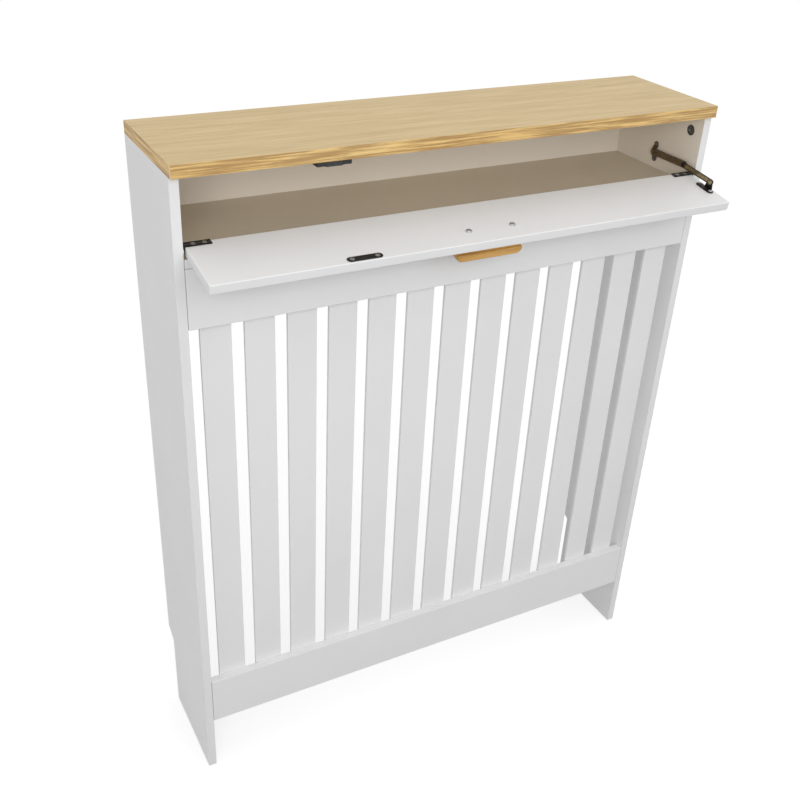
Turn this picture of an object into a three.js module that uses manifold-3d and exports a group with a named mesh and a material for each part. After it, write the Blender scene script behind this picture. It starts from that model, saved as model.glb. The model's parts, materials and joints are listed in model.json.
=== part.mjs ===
// Radiator cover cabinet with a slatted front, an oak-effect top and a drop-down storage compartment.
// Millimetres, +Z up, front towards -Y. The flap is shown open, resting on its stay.
// Inside this file x = 0 is the cabinet's middle, y = 0 the front plane of the side panels and z = 0 the floor.
import * as THREE from 'three';
import { mergeVertices } from 'three/addons/utils/BufferGeometryUtils.js';
import Module from 'manifold-3d';

// ---------------------------------------------------------------- driving dimensions

// Carcass
const cabinetWidth = 780;
const cabinetHeight = 950;
const panelDepth = 178;
const boardThickness = 12;        // side panels, shelf and rails
const topThickness = 16;
const topOverhang = 8;            // the top board past the side panels, at the front
const backPanelThickness = 3;
const edgeEase = 0.6;             // small chamfer on every board edge
const notchDepth = 23;            // skirting notch at the back of each side panel
const notchHeight = 128;          // its upright, before the slope
const notchSlope = 13;            // rise of its sloping top
const compartmentHeight = 98;     // clear height between shelf and top board
const railHeight = 78;
const bottomRailLow = 93;         // air gap under the front

// Slats
const slatCount = 13;
const slatWidth = 40;
const slatThickness = 5;
const slatLap = 60;               // how far a slat runs behind each rail

// Flap
const flapThickness = 12;
const flapGap = 3;                // round all four edges of the closed flap
const pivotHeight = 6;            // hinge axis above the flap's lower edge
const openAngle = 99.5;           // from closed to resting on the stay, degrees

// Clearances
const seat = 0.3;                 // between a fastening and what it sits on or in, in a turned group
const runningGap = 0.3;           // round a pin or shank in its hole
const bottomingGap = 1;           // under the tip of a pin or screw in a blind hole

// Handle
const handleDepth = 26;
const handleWidth = 20;
const handleNeckWidth = 12;
const handleHeadDepth = 10;
const handleCornerRadius = 6;
const handleEdgeRadius = 3;
const handleScrewSpacing = 64;
const handleEnd = 16;             // the bar past each screw
const handleDrop = 27.4;          // screw line below the flap's upper edge
const handleScrewGrip = 12;       // thread length in the handle

// Hinges
const hingeLength = 33.5;         // strip along the flap, from the bent end
const hingeWidth = 9.5;
const hingeThickness = 1.2;
const hingeScrewNear = 12;        // first screw from the strip's bent end
const hingeScrewSpacing = 13.5;
const hingePinRadius = 2;
const hingePinInPanel = 7.5;
const hingePinInFlap = 4.5;
const bushRadius = 4;
const bushFlangeRadius = 5.5;
const bushFlangeThickness = 0.8;
const bushLength = 9;

// Magnetic catch
const strikeLength = 46;
const strikeWidth = 9.5;
const strikeThickness = 1;
const strikeX = -185;
const strikeDrop = 6.75;          // centre line below the flap's upper edge
const strikeScrewSpacing = 33;
const catchLength = 46;
const catchDepth = 14;
const catchHeight = 13;
const catchGap = 0.4;             // magnet face to strike plate with the flap closed
const catchScrewSpacing = 34;
const magnetLength = 22;
const magnetDepth = 8;
const magnetHeight = 8;

// Stay
const stayRearY = 88;             // rear pivot behind the front plane
const stayRearRise = 24;          // rear pivot above the shelf
const stayFrontRise = 50.6;       // front pivot above the flap's lower edge
const stayFrontStand = 10;        // front pivot off the flap's inner face
const staySlack = 0.25;           // arm lengths together, past the open distance between pivots
const stayRearShare = 0.535;      // the rear arm's share of that length
const stayRearArmWidth = 10;
const stayFrontArmWidth = 8;
const stayArmThickness = 1.5;
const stayPlateThickness = 1.2;
const stayBridgeRise = 2.4;       // raised middle of the wall bracket
const stayBracketWidth = 9;
const stayBracketLength = 30;
const stayBridgeLength = 11;
const stayWallScrewSpacing = 22;
const stayFlapPlateLength = 31;
const stayFlapPlateWidth = 10;
const stayFlapScrewSpacing = 22;
const stayFlapPlateOffset = -2.1; // its middle from the front pivot, along the flap
const stayRivetRadius = 2;
const stayRivetHeadRadius = 3.8;
const stayRivetHeadHeight = 1.2;
const stayRivetTailHeight = 0.9;

// Cam locks and bolts
const camRadius = 7.5;
const camThickness = 9;
const camDrop = 25;               // centre below the top board
const camFrontY = 24;
const camBackY = 150;
const camBoltShankRadius = 2;
const camBoltHeadRadius = 3;
const camBoltHeadHeight = 3;
const camBoltThreadRadius = 3;
const camBoltThreadLength = 9;
const camBoltCollarHeight = 1;
const camBoltReach = 2;           // bolt head's end past the cam's centre

// Screws. The length is the whole screw's where its head is countersunk, and the shank's otherwise.
const handleScrew = { headRadius: 4, headHeight: 2.2, shankRadius: 2 };
const plateScrew = { headRadius: 2.9, headHeight: 1, shankRadius: 1.5, length: 9.5 };
const stayScrew = { headRadius: 2.8, headHeight: 1.1, shankRadius: 1.5, length: 9.5 };
const catchScrew = { headRadius: 3, headHeight: 1.4, shankRadius: 1.5 };
const catchScrewGrip = 9;         // its thread length in the top board
const recessShare = 0.62;         // cross recess width against the head's diameter
const recessSlot = 0.9;
const recessDepth = 0.7;

// Facets
const roundSegments = 16;
const cornerSegments = 4;

// ---------------------------------------------------------------- derived places

const halfWidth = cabinetWidth / 2;
const innerHalf = halfWidth - boardThickness;
const topUnderside = cabinetHeight - topThickness;
const shelfTop = topUnderside - compartmentHeight;
const shelfLow = shelfTop - boardThickness;
const topRailLow = shelfLow - railHeight;
const bottomRailTop = bottomRailLow + railHeight;
const shelfDepth = panelDepth - backPanelThickness;

const flapWidth = 2 * (innerHalf - flapGap);
const flapHeight = compartmentHeight - 2 * flapGap;
const flapLow = shelfTop + flapGap;
const axisY = flapThickness / 2;
const axisZ = flapLow + pivotHeight;
const openRadians = THREE.MathUtils.degToRad(openAngle);

// A point of the closed flap, given from the hinge axis, as it lies when the flap is open.
function openPoint(y, z) {
  const cos = Math.cos(openRadians);
  const sin = Math.sin(openRadians);
  return { y: axisY + y * cos - z * sin, z: axisZ + y * sin + z * cos };
}

// ---------------------------------------------------------------- materials

function paint(color, roughness, metalness = 0) {
  return new THREE.MeshStandardMaterial({ color, roughness, metalness });
}
const whitePaint = paint(0xe4e4e6, 0.45);
const oakFoil = paint(0xd2bc8c, 0.5);
const oakWood = paint(0xc8965a, 0.5);
const hardboard = paint(0xdcdad6, 0.6);
const blackSteel = paint(0x1c1c1d, 0.45, 0.6);
const brightSteel = paint(0xb9babc, 0.3, 1);
const bronze = paint(0x5a4530, 0.42, 0.9);
const zincCam = paint(0x55565a, 0.45, 0.8);
const blackPlastic = paint(0x202021, 0.5);
const whitePlastic = paint(0xe8e8e6, 0.45);
const magnetGrey = paint(0x3a3a3c, 0.4, 0.4);

// ---------------------------------------------------------------- solids

const wasm = await Module();
wasm.setup();

function toManifold(geometry) {
  const bare = geometry.clone();
  bare.deleteAttribute('normal');
  bare.deleteAttribute('uv');
  const merged = mergeVertices(bare, 1e-4);
  return new wasm.Manifold(new wasm.Mesh({
    numProp: 3,
    vertProperties: new Float32Array(merged.attributes.position.array),
    triVerts: new Uint32Array(merged.index.array),
  }));
}

function toGeometry(manifold) {
  const mesh = manifold.getMesh();
  const geometry = new THREE.BufferGeometry();
  geometry.setAttribute('position', new THREE.BufferAttribute(mesh.vertProperties, 3));
  geometry.setIndex(new THREE.BufferAttribute(mesh.triVerts, 1));
  geometry.computeVertexNormals();
  return geometry;
}

function cut(geometry, tools) {
  return toGeometry(tools.reduce((solid, tool) => solid.subtract(toManifold(tool)), toManifold(geometry)));
}

function join(geometries) {
  return toGeometry(geometries.map(toManifold).reduce((solid, other) => solid.add(other)));
}

function common(a, b) {
  return toGeometry(toManifold(a).intersect(toManifold(b)));
}

// Box between two corners.
function box(low, high) {
  const size = high.map((value, axis) => value - low[axis]);
  const geometry = new THREE.BoxGeometry(...size);
  return geometry.translate(...low.map((value, axis) => value + size[axis] / 2));
}

// An outline of [a, b] points.
function outline(points) {
  return new THREE.Shape(points.map(([a, b]) => new THREE.Vector2(a, b)));
}

// Sweep an outline along an axis from one place to another. The outline's two coordinates are
// (y, z) along x, (x, z) along y and (x, y) along z. A chamfer eases the two end faces.
function sweep(shape, axis, from, to, chamfer = 0) {
  const length = to - from;
  const geometry = new THREE.ExtrudeGeometry(shape, {
    depth: length - 2 * chamfer,
    bevelEnabled: chamfer > 0,
    bevelThickness: chamfer,
    bevelSize: chamfer,
    bevelOffset: -chamfer,
    bevelSegments: 1,
    curveSegments: cornerSegments,
  });
  geometry.translate(0, 0, chamfer);
  if (axis === 'x') {
    geometry.applyMatrix4(new THREE.Matrix4().set(0, 0, 1, 0, 1, 0, 0, 0, 0, 1, 0, 0, 0, 0, 0, 1));
    return geometry.translate(from, 0, 0);
  }
  if (axis === 'y') {
    geometry.applyMatrix4(new THREE.Matrix4().set(1, 0, 0, 0, 0, 0, -1, 0, 0, 1, 0, 0, 0, 0, 0, 1));
    return geometry.translate(0, to, 0);
  }
  return geometry.translate(0, 0, from);
}

// A board with every edge eased, between two corners.
function board(low, high, ease = edgeEase) {
  const [x0, y0, z0] = low;
  const [x1, y1, z1] = high;
  const shape = outline([
    [x0 + ease, y0], [x1 - ease, y0], [x1, y0 + ease], [x1, y1 - ease],
    [x1 - ease, y1], [x0 + ease, y1], [x0, y1 - ease], [x0, y0 + ease],
  ]);
  return sweep(shape, 'z', z0, z1, ease);
}

// A round bar along an axis ('x', 'y' or 'z') through a point, from one place to another on that axis.
function bar(axis, at, from, to, radius, segments = roundSegments) {
  const geometry = new THREE.CylinderGeometry(radius, radius, to - from, segments);
  geometry.translate(0, (from + to) / 2, 0);
  return turnTo(geometry, axis, at);
}

// Turn a shape made along +Y so that it lies along an axis, and move it to a point [a, b] across it.
function turnTo(geometry, axis, at) {
  const [a, b] = at;
  if (axis === 'x') return geometry.rotateZ(-Math.PI / 2).translate(0, a, b);
  if (axis === 'z') return geometry.rotateX(Math.PI / 2).translate(a, b, 0);
  return geometry.translate(a, 0, b);
}

// A solid of revolution about +Y from its [radius, height] outline, bottom to top.
function turned(points, segments = roundSegments) {
  return new THREE.LatheGeometry(points.map(([r, h]) => new THREE.Vector2(r, h)), segments);
}

// The cross recess in a screw's head, whose top is at a height on +Y.
function crossRecess(headRadius, top) {
  const reach = headRadius * recessShare;
  const half = recessSlot / 2;
  return [
    box([-reach, top - recessDepth, -half], [reach, top + 1, half]),
    box([-half, top - recessDepth, -reach], [half, top + 1, reach]),
  ];
}

// A pan-head screw along -Y: its head sits above y = 0 and its shank points down to the tip.
function panScrew({ headRadius, headHeight, shankRadius }, length) {
  const blank = turned([
    [0, -length], [shankRadius * 0.5, -length], [shankRadius, -length + shankRadius],
    [shankRadius, 0], [headRadius, 0], [headRadius, headHeight * 0.45], [headRadius * 0.7, headHeight],
    [0, headHeight],
  ]);
  return cut(blank, crossRecess(headRadius, headHeight));
}

// A countersunk screw along -Y, with the top of its head at y = 0.
function flatScrew({ headRadius, headHeight, shankRadius, length }) {
  const blank = turned([
    [0, -length], [shankRadius * 0.5, -length], [shankRadius, -length + shankRadius],
    [shankRadius, -headHeight], [headRadius, 0], [0, 0],
  ]);
  return cut(blank, crossRecess(headRadius, 0));
}

// The countersunk hole for such a screw, along y through [x, z], from the plate's face inwards.
function countersink({ headRadius, headHeight, shankRadius }, [x, z], face, depth) {
  const shank = shankRadius + runningGap;
  const mouth = headRadius + runningGap;
  return turned([[0, -depth], [shank, -depth], [shank, -headHeight], [mouth, 0], [mouth, 1], [0, 1]])
    .translate(x, face, z);
}

// A flat strip with round ends between two points [a, b].
function strip(start, end, width) {
  const radius = width / 2;
  const angle = Math.atan2(end[1] - start[1], end[0] - start[0]);
  const shape = new THREE.Shape();
  shape.absarc(end[0], end[1], radius, angle - Math.PI / 2, angle + Math.PI / 2, false);
  shape.absarc(start[0], start[1], radius, angle + Math.PI / 2, angle + 3 * Math.PI / 2, false);
  shape.closePath();
  return shape;
}

// The same strip with a hole at each end.
function link(start, end, width, holeRadius) {
  const shape = strip(start, end, width);
  for (const [a, b] of [start, end]) {
    const hole = new THREE.Path();
    hole.absarc(a, b, holeRadius, 0, 2 * Math.PI, true);
    shape.holes.push(hole);
  }
  return shape;
}

// ---------------------------------------------------------------- assembly

const cabinet = new THREE.Group();
// The flap and what is fixed to it, in a group whose origin is the hinge axis.
const flapGroup = new THREE.Group();
flapGroup.position.set(0, axisY, axisZ);
flapGroup.rotation.x = openRadians;
cabinet.add(flapGroup);

function add(group, name, geometry, material) {
  const mesh = new THREE.Mesh(geometry, material);
  mesh.name = name;
  group.add(mesh);
  return mesh;
}

// A flap piece is drawn in the closed position, in the cabinet's coordinates, then set from the axis.
function addToFlap(name, geometry, material) {
  return add(flapGroup, name, geometry.translate(0, -axisY, -axisZ), material);
}

const sides = [
  { name: 'left', sign: -1 },
  { name: 'right', sign: 1 },
];

// A place measured inwards from a side panel's inner face, as an x coordinate.
const inward = (sign, distance) => sign * (innerHalf - distance);

// Low and high ends of a stretch measured inwards from a side panel's inner face.
function inwardSpan(sign, a, b) {
  return [inward(sign, a), inward(sign, b)].sort((p, q) => p - q);
}

// ---- top board

const catchY = flapThickness + seat + strikeThickness + catchGap;
const catchScrewY = catchY + catchDepth / 2;
const catchScrewXs = [-1, 1].map((k) => strikeX + k * catchScrewSpacing / 2);
const camYs = [['front', camFrontY], ['back', camBackY]];

function topBoard() {
  const blank = board(
    [-halfWidth, -topOverhang, topUnderside],
    [halfWidth, panelDepth, cabinetHeight],
  );
  const holes = [];
  for (const x of catchScrewXs) {
    holes.push(bar('z', [x, catchScrewY], topUnderside - 1,
      topUnderside + catchScrewGrip + bottomingGap, catchScrew.shankRadius + runningGap));
  }
  for (const { sign } of sides) {
    for (const [, y] of camYs) {
      holes.push(bar('z', [inward(sign, -boardThickness / 2), y], topUnderside - 1,
        topUnderside + camBoltThreadLength + bottomingGap, camBoltThreadRadius + runningGap));
    }
  }
  return cut(blank, holes);
}
add(cabinet, 'top_board', topBoard(), oakFoil);

// ---- side panels, with bores for the cams, their bolts, the hinge bushes and the stay's screws

const stayRearZ = shelfTop + stayRearRise;
const stayWallScrewZs = [1, -1].map((k) => stayRearZ + k * stayWallScrewSpacing / 2);
function sidePanel(sign) {
  const profile = outline([
    [0, 0],
    [panelDepth - notchDepth, 0],
    [panelDepth - notchDepth, notchHeight],
    [panelDepth, notchHeight + notchSlope],
    [panelDepth, topUnderside],
    [0, topUnderside],
  ]);
  const [low, high] = inwardSpan(sign, 0, -boardThickness);
  const blank = sweep(profile, 'x', low, high, edgeEase);
  const camZ = topUnderside - camDrop;
  const bores = [
    bar('x', [axisY, axisZ], ...inwardSpan(sign, 1, -bushLength - seat), bushRadius + seat),
  ];
  for (const [, y] of camYs) {
    bores.push(bar('x', [y, camZ], ...inwardSpan(sign, 1, -camThickness - seat), camRadius + seat));
    bores.push(bar('z', [inward(sign, -boardThickness / 2), y], camZ, topUnderside + 1,
      camBoltHeadRadius + runningGap));
  }
  if (sign > 0) {
    for (const z of stayWallScrewZs) {
      bores.push(bar('x', [stayRearY, z], ...inwardSpan(sign, 1,
        stayPlateThickness - stayScrew.length - bottomingGap), stayScrew.shankRadius + runningGap));
    }
  }
  return cut(blank, bores);
}
for (const { name, sign } of sides) {
  add(cabinet, `side_panel_${name}`, sidePanel(sign), whitePaint);
}

// ---- shelf, back panel and rails

add(cabinet, 'compartment_shelf',
  board([-innerHalf, 0, shelfLow], [innerHalf, shelfDepth, shelfTop]), whitePaint);
add(cabinet, 'back_panel',
  board([-innerHalf, shelfDepth, shelfLow], [innerHalf, panelDepth, topUnderside], edgeEase / 2), hardboard);
add(cabinet, 'top_rail',
  board([-innerHalf, 0, topRailLow], [innerHalf, boardThickness, shelfLow]), whitePaint);
add(cabinet, 'bottom_rail',
  board([-innerHalf, 0, bottomRailLow], [innerHalf, boardThickness, bottomRailTop]), whitePaint);

// ---- slats, evenly spaced between the side panels

const slatSpace = (2 * innerHalf - slatCount * slatWidth) / (slatCount + 1);
for (let i = 0; i < slatCount; i += 1) {
  const x = -innerHalf + slatSpace + i * (slatWidth + slatSpace);
  const slat = board(
    [x, boardThickness, bottomRailTop - slatLap],
    [x + slatWidth, boardThickness + slatThickness, topRailLow + slatLap],
  );
  add(cabinet, `slat_${String(i + 1).padStart(2, '0')}`, slat, whitePaint);
}

// ---- cam locks in the side panels and their bolts in the top board

function camLock(sign, y) {
  const camZ = topUnderside - camDrop;
  const boltX = inward(sign, -boardThickness / 2);
  const disc = bar('x', [y, camZ], ...inwardSpan(sign, 0, -camThickness), camRadius, 28);
  const reach = camRadius * 0.5;
  const slot = camRadius * 0.12;
  const [recessLow, recessHigh] = inwardSpan(sign, 1, -1.5);
  return cut(disc, [
    bar('z', [boltX, y], camZ - camBoltReach - bottomingGap, camZ + 2 * camRadius,
      camBoltHeadRadius + runningGap),
    box([recessLow, y - reach, camZ - slot], [recessHigh, y + reach, camZ + slot]),
    box([recessLow, y - slot, camZ - reach], [recessHigh, y + slot, camZ + reach]),
  ]);
}

// The bolt's outline runs down from its thread in the top board to its head in the cam.
function camBolt(sign, y) {
  const drop = camDrop + camBoltReach;
  const neck = drop - camBoltHeadHeight;
  const profile = [
    [0, -camBoltThreadLength], [camBoltThreadRadius * 0.6, -camBoltThreadLength],
    [camBoltThreadRadius, -camBoltThreadLength + 1.5], [camBoltThreadRadius, camBoltCollarHeight],
    [camBoltShankRadius, camBoltCollarHeight], [camBoltShankRadius, neck],
    [camBoltHeadRadius, neck], [camBoltHeadRadius, drop], [0, drop],
  ];
  return turned(profile).rotateX(-Math.PI / 2)
    .translate(inward(sign, -boardThickness / 2), y, topUnderside);
}

for (const { name, sign } of sides) {
  for (const [place, y] of camYs) {
    add(cabinet, `cam_lock_${name}_${place}`, camLock(sign, y), zincCam);
    add(cabinet, `cam_bolt_${name}_${place}`, camBolt(sign, y), brightSteel);
  }
}

// ---- magnetic catch under the top board

const catchLow = topUnderside - catchHeight;
const magnetZ = flapLow + flapHeight - strikeDrop;
function catchCase() {
  const body = board(
    [strikeX - catchLength / 2, catchY, catchLow],
    [strikeX + catchLength / 2, catchY + catchDepth, topUnderside],
    1,
  );
  const pocket = box(
    [strikeX - magnetLength / 2 - seat, catchY - 1, magnetZ - magnetHeight / 2 - seat],
    [strikeX + magnetLength / 2 + seat, catchY + magnetDepth + seat, magnetZ + magnetHeight / 2 + seat],
  );
  const holes = catchScrewXs.map((x) => bar('z', [x, catchScrewY], catchLow - 1, topUnderside + 1,
    catchScrew.shankRadius + runningGap));
  return cut(body, [pocket, ...holes]);
}
add(cabinet, 'catch_case', catchCase(), blackPlastic);
add(cabinet, 'catch_magnet', board(
  [strikeX - magnetLength / 2, catchY, magnetZ - magnetHeight / 2],
  [strikeX + magnetLength / 2, catchY + magnetDepth, magnetZ + magnetHeight / 2],
), magnetGrey);
catchScrewXs.forEach((x, i) => {
  const geometry = panScrew(catchScrew, catchHeight + catchScrewGrip);
  geometry.rotateX(-Math.PI / 2).translate(x, catchScrewY, catchLow);
  add(cabinet, `catch_screw_${sides[i].name}`, geometry, brightSteel);
});

// ---- hinge bushes in the side panels, the pins that turn in them, and the strips on the flap

function hingeBush(sign) {
  const sleeve = bar('x', [axisY, axisZ], ...inwardSpan(sign, 0, -bushLength), bushRadius);
  const flange = bar('x', [axisY, axisZ], ...inwardSpan(sign, bushFlangeThickness, 0), bushFlangeRadius);
  const bore = bar('x', [axisY, axisZ], ...inwardSpan(sign, 2, -bushLength - 1),
    hingePinRadius + runningGap);
  return cut(join([sleeve, flange]), [bore]);
}

// The bent end stands in the side gap, off the flap's end by the seat gap.
const hingeOuter = flapGap - seat - hingeThickness;
const hingeLow = flapLow + (pivotHeight - hingeWidth / 2) - 1;
const hingeFace = flapThickness + seat;
const hingeScrewZ = hingeLow + hingeWidth / 2;
const hingeScrewReach = [0, hingeScrewSpacing].map((step) => hingeOuter + hingeScrewNear + step);

function hingeStrip(sign) {
  const [x0, x1] = inwardSpan(sign, hingeOuter, hingeOuter + hingeLength);
  const hingeTop = hingeFace + hingeThickness;
  const leaf = box([x0, hingeFace, hingeLow], [x1, hingeTop, hingeLow + hingeWidth]);
  const [t0, t1] = inwardSpan(sign, hingeOuter, hingeOuter + hingeThickness);
  const tab = box([t0, axisY - hingeWidth / 2, hingeLow], [t1, hingeTop, hingeLow + hingeWidth]);
  const pinHole = bar('x', [axisY, axisZ], ...inwardSpan(sign, hingeOuter - 1, hingeOuter + hingeThickness + 1),
    hingePinRadius + runningGap);
  const screwHoles = hingeScrewReach.map((w) => countersink(plateScrew, [inward(sign, w), hingeScrewZ],
    hingeTop, 2 * hingeThickness));
  return cut(join([leaf, tab]), [pinHole, ...screwHoles]);
}

for (const { name, sign } of sides) {
  add(cabinet, `hinge_bush_${name}`, hingeBush(sign), whitePlastic);
  addToFlap(`hinge_strip_${name}`, hingeStrip(sign), blackSteel);
  const pin = bar('x', [axisY, axisZ], ...inwardSpan(sign, flapGap + hingePinInFlap, -hingePinInPanel),
    hingePinRadius);
  addToFlap(`hinge_pin_${name}`, pin, brightSteel);
  hingeScrewReach.forEach((w, i) => {
    const geometry = flatScrew(plateScrew);
    geometry.translate(inward(sign, w), hingeFace + hingeThickness, hingeScrewZ);
    addToFlap(`hinge_screw_${name}_${i + 1}`, geometry, brightSteel);
  });
}

// ---- strike plate

const flapTop = flapLow + flapHeight;
const strikeZ = flapTop - strikeDrop;
const strikeFace = flapThickness + seat + strikeThickness;
const strikeScrewXs = [-1, 1].map((k) => strikeX + k * strikeScrewSpacing / 2);
function strikePlate() {
  const radius = strikeWidth / 2;
  const reach = strikeLength / 2 - radius;
  const shape = strip([strikeX - reach, strikeZ], [strikeX + reach, strikeZ], strikeWidth);
  const plate = sweep(shape, 'y', strikeFace - strikeThickness, strikeFace);
  return cut(plate, strikeScrewXs.map((x) => countersink(plateScrew, [x, strikeZ],
    strikeFace, 2 * strikeThickness)));
}
addToFlap('strike_plate', strikePlate(), blackSteel);
strikeScrewXs.forEach((x, i) => {
  const geometry = flatScrew(plateScrew).translate(x, strikeFace, strikeZ);
  addToFlap(`strike_screw_${sides[i].name}`, geometry, brightSteel);
});

// ---- handle

const handleZ = flapTop - handleDrop;
const handleLength = handleScrewSpacing + 2 * handleEnd;
const handleScrewXs = [-1, 1].map((k) => k * handleScrewSpacing / 2);
function handle() {
  const half = handleWidth / 2;
  const neck = handleNeckWidth / 2;
  const back = -seat;
  const front = -handleDepth;
  const step = front + handleHeadDepth;
  const r = handleEdgeRadius;
  const section = new THREE.Shape();
  section.moveTo(back, handleZ - neck);
  section.lineTo(back, handleZ + neck);
  section.lineTo(step, handleZ + neck);
  section.lineTo(step, handleZ + half - 1);
  section.lineTo(step - 1, handleZ + half);
  section.lineTo(front + r, handleZ + half);
  section.absarc(front + r, handleZ + half - r, r, Math.PI / 2, Math.PI, false);
  section.absarc(front + r, handleZ - half + r, r, Math.PI, 1.5 * Math.PI, false);
  section.lineTo(step - 1, handleZ - half);
  section.lineTo(step, handleZ - half + 1);
  section.lineTo(step, handleZ - neck);
  section.closePath();
  const barSolid = sweep(section, 'x', -handleLength / 2, handleLength / 2);
  const corner = handleCornerRadius;
  const end = handleLength / 2;
  const plan = new THREE.Shape();
  plan.moveTo(-end, back + 1);
  plan.lineTo(-end, front + corner);
  plan.absarc(-end + corner, front + corner, corner, Math.PI, 1.5 * Math.PI, false);
  plan.absarc(end - corner, front + corner, corner, 1.5 * Math.PI, 2 * Math.PI, false);
  plan.lineTo(end, back + 1);
  plan.closePath();
  const planSolid = sweep(plan, 'z', handleZ - half - 1, handleZ + half + 1);
  const screwHoles = handleScrewXs.map((x) => bar('y', [x, handleZ],
    -handleScrewGrip - bottomingGap, 1, handleScrew.shankRadius + runningGap));
  return cut(common(barSolid, planSolid), screwHoles);
}
addToFlap('flap_handle', handle(), oakWood);
handleScrewXs.forEach((x, i) => {
  const geometry = panScrew(handleScrew, flapThickness + seat + handleScrewGrip);
  geometry.translate(x, flapThickness + seat, handleZ);
  addToFlap(`handle_screw_${sides[i].name}`, geometry, brightSteel);
});

// ---- stay: a wall bracket, two arms that fold upwards at the knee, and a bracket on the flap

const stayRear = [stayRearY, stayRearZ];
const frontOpen = openPoint(flapThickness / 2 + stayFrontStand, stayFrontRise - pivotHeight);
const stayFront = [frontOpen.y, frontOpen.z];
const stayReach = Math.hypot(stayRear[0] - stayFront[0], stayRear[1] - stayFront[1]);
const rearArmLength = stayRearShare * (stayReach + staySlack);
const frontArmLength = stayReach + staySlack - rearArmLength;
// The knee lies above the line between the pivots.
const kneeAlong = (rearArmLength ** 2 - frontArmLength ** 2 + stayReach ** 2) / (2 * stayReach);
const kneeUp = Math.sqrt(rearArmLength ** 2 - kneeAlong ** 2);
const towardsFront = [
  (stayFront[0] - stayRear[0]) / stayReach,
  (stayFront[1] - stayRear[1]) / stayReach,
];
const stayKnee = [
  stayRear[0] + kneeAlong * towardsFront[0] + kneeUp * towardsFront[1],
  stayRear[1] + kneeAlong * towardsFront[1] - kneeUp * towardsFront[0],
];

// The stay's layers, measured inwards from the right side panel.
const rearArmNear = stayBridgeRise + stayPlateThickness + seat;
const rearArmFar = rearArmNear + stayArmThickness;
const frontArmNear = rearArmFar + seat;
const frontArmFar = frontArmNear + stayArmThickness;
const tabNear = frontArmFar + seat;
const tabFar = tabNear + stayPlateThickness;
const staySpan = (a, b) => inwardSpan(1, a, b);
const rivetHole = stayRivetRadius + runningGap;

function stayWallBracket() {
  const half = stayBracketLength / 2;
  const flat = stayBridgeLength / 2;
  const foot = flat + stayBridgeRise;
  const [y0, y1] = [stayRearY - stayBracketWidth / 2, stayRearY + stayBracketWidth / 2];
  const at = (w, z) => [inward(1, w), stayRearZ + z];
  const profile = outline([
    at(0, -half), at(0, -foot), at(stayBridgeRise, -flat), at(stayBridgeRise, flat), at(0, foot), at(0, half),
    at(stayPlateThickness, half), at(stayPlateThickness, foot),
    at(stayBridgeRise + stayPlateThickness, flat), at(stayBridgeRise + stayPlateThickness, -flat),
    at(stayPlateThickness, -foot), at(stayPlateThickness, -half),
  ]);
  const holes = stayWallScrewZs.map((z) => bar('x', [stayRearY, z], ...staySpan(-1, 3),
    stayScrew.shankRadius + runningGap));
  holes.push(bar('x', stayRear, ...staySpan(1, 6), rivetHole));
  return cut(sweep(profile, 'y', y0, y1), holes);
}

// A rivet through the stay: shank between two depths, a domed head inside and a flat tail at the other end.
function stayRivet(at, tail, head, tailHeight = stayRivetTailHeight) {
  const points = [
    [0, head + stayRivetHeadHeight], [stayRivetHeadRadius * 0.7, head + stayRivetHeadHeight],
    [stayRivetHeadRadius, head + stayRivetHeadHeight * 0.4], [stayRivetHeadRadius, head],
    [stayRivetRadius, head], [stayRivetRadius, tail],
  ];
  if (tailHeight > 0) {
    points.push([stayRivetHeadRadius * 0.8, tail], [stayRivetHeadRadius * 0.8, tail - tailHeight]);
  }
  points.push([0, tail - tailHeight]);
  const geometry = turned(points.reverse());
  return geometry.rotateZ(Math.PI / 2).translate(innerHalf, at[0], at[1]);
}

add(cabinet, 'stay_wall_bracket', stayWallBracket(), bronze);
stayWallScrewZs.forEach((z, i) => {
  const geometry = panScrew(stayScrew, stayScrew.length).rotateZ(Math.PI / 2);
  geometry.translate(inward(1, stayPlateThickness), stayRearY, z);
  add(cabinet, `stay_wall_screw_${['upper', 'lower'][i]}`, geometry, bronze);
});
add(cabinet, 'stay_rear_rivet', stayRivet(stayRear, stayBridgeRise - seat, rearArmFar + seat), bronze);
add(cabinet, 'stay_rear_arm',
  sweep(link(stayRear, stayKnee, stayRearArmWidth, rivetHole), 'x', ...staySpan(rearArmNear, rearArmFar)), bronze);
add(cabinet, 'stay_front_arm',
  sweep(link(stayKnee, stayFront, stayFrontArmWidth, rivetHole), 'x', ...staySpan(frontArmNear, frontArmFar)),
  bronze);
// The knee rivet is held by the front arm and ends flush with its outer face.
add(cabinet, 'stay_knee_rivet', stayRivet(stayKnee, frontArmNear, frontArmFar + seat, 0), bronze);

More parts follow.
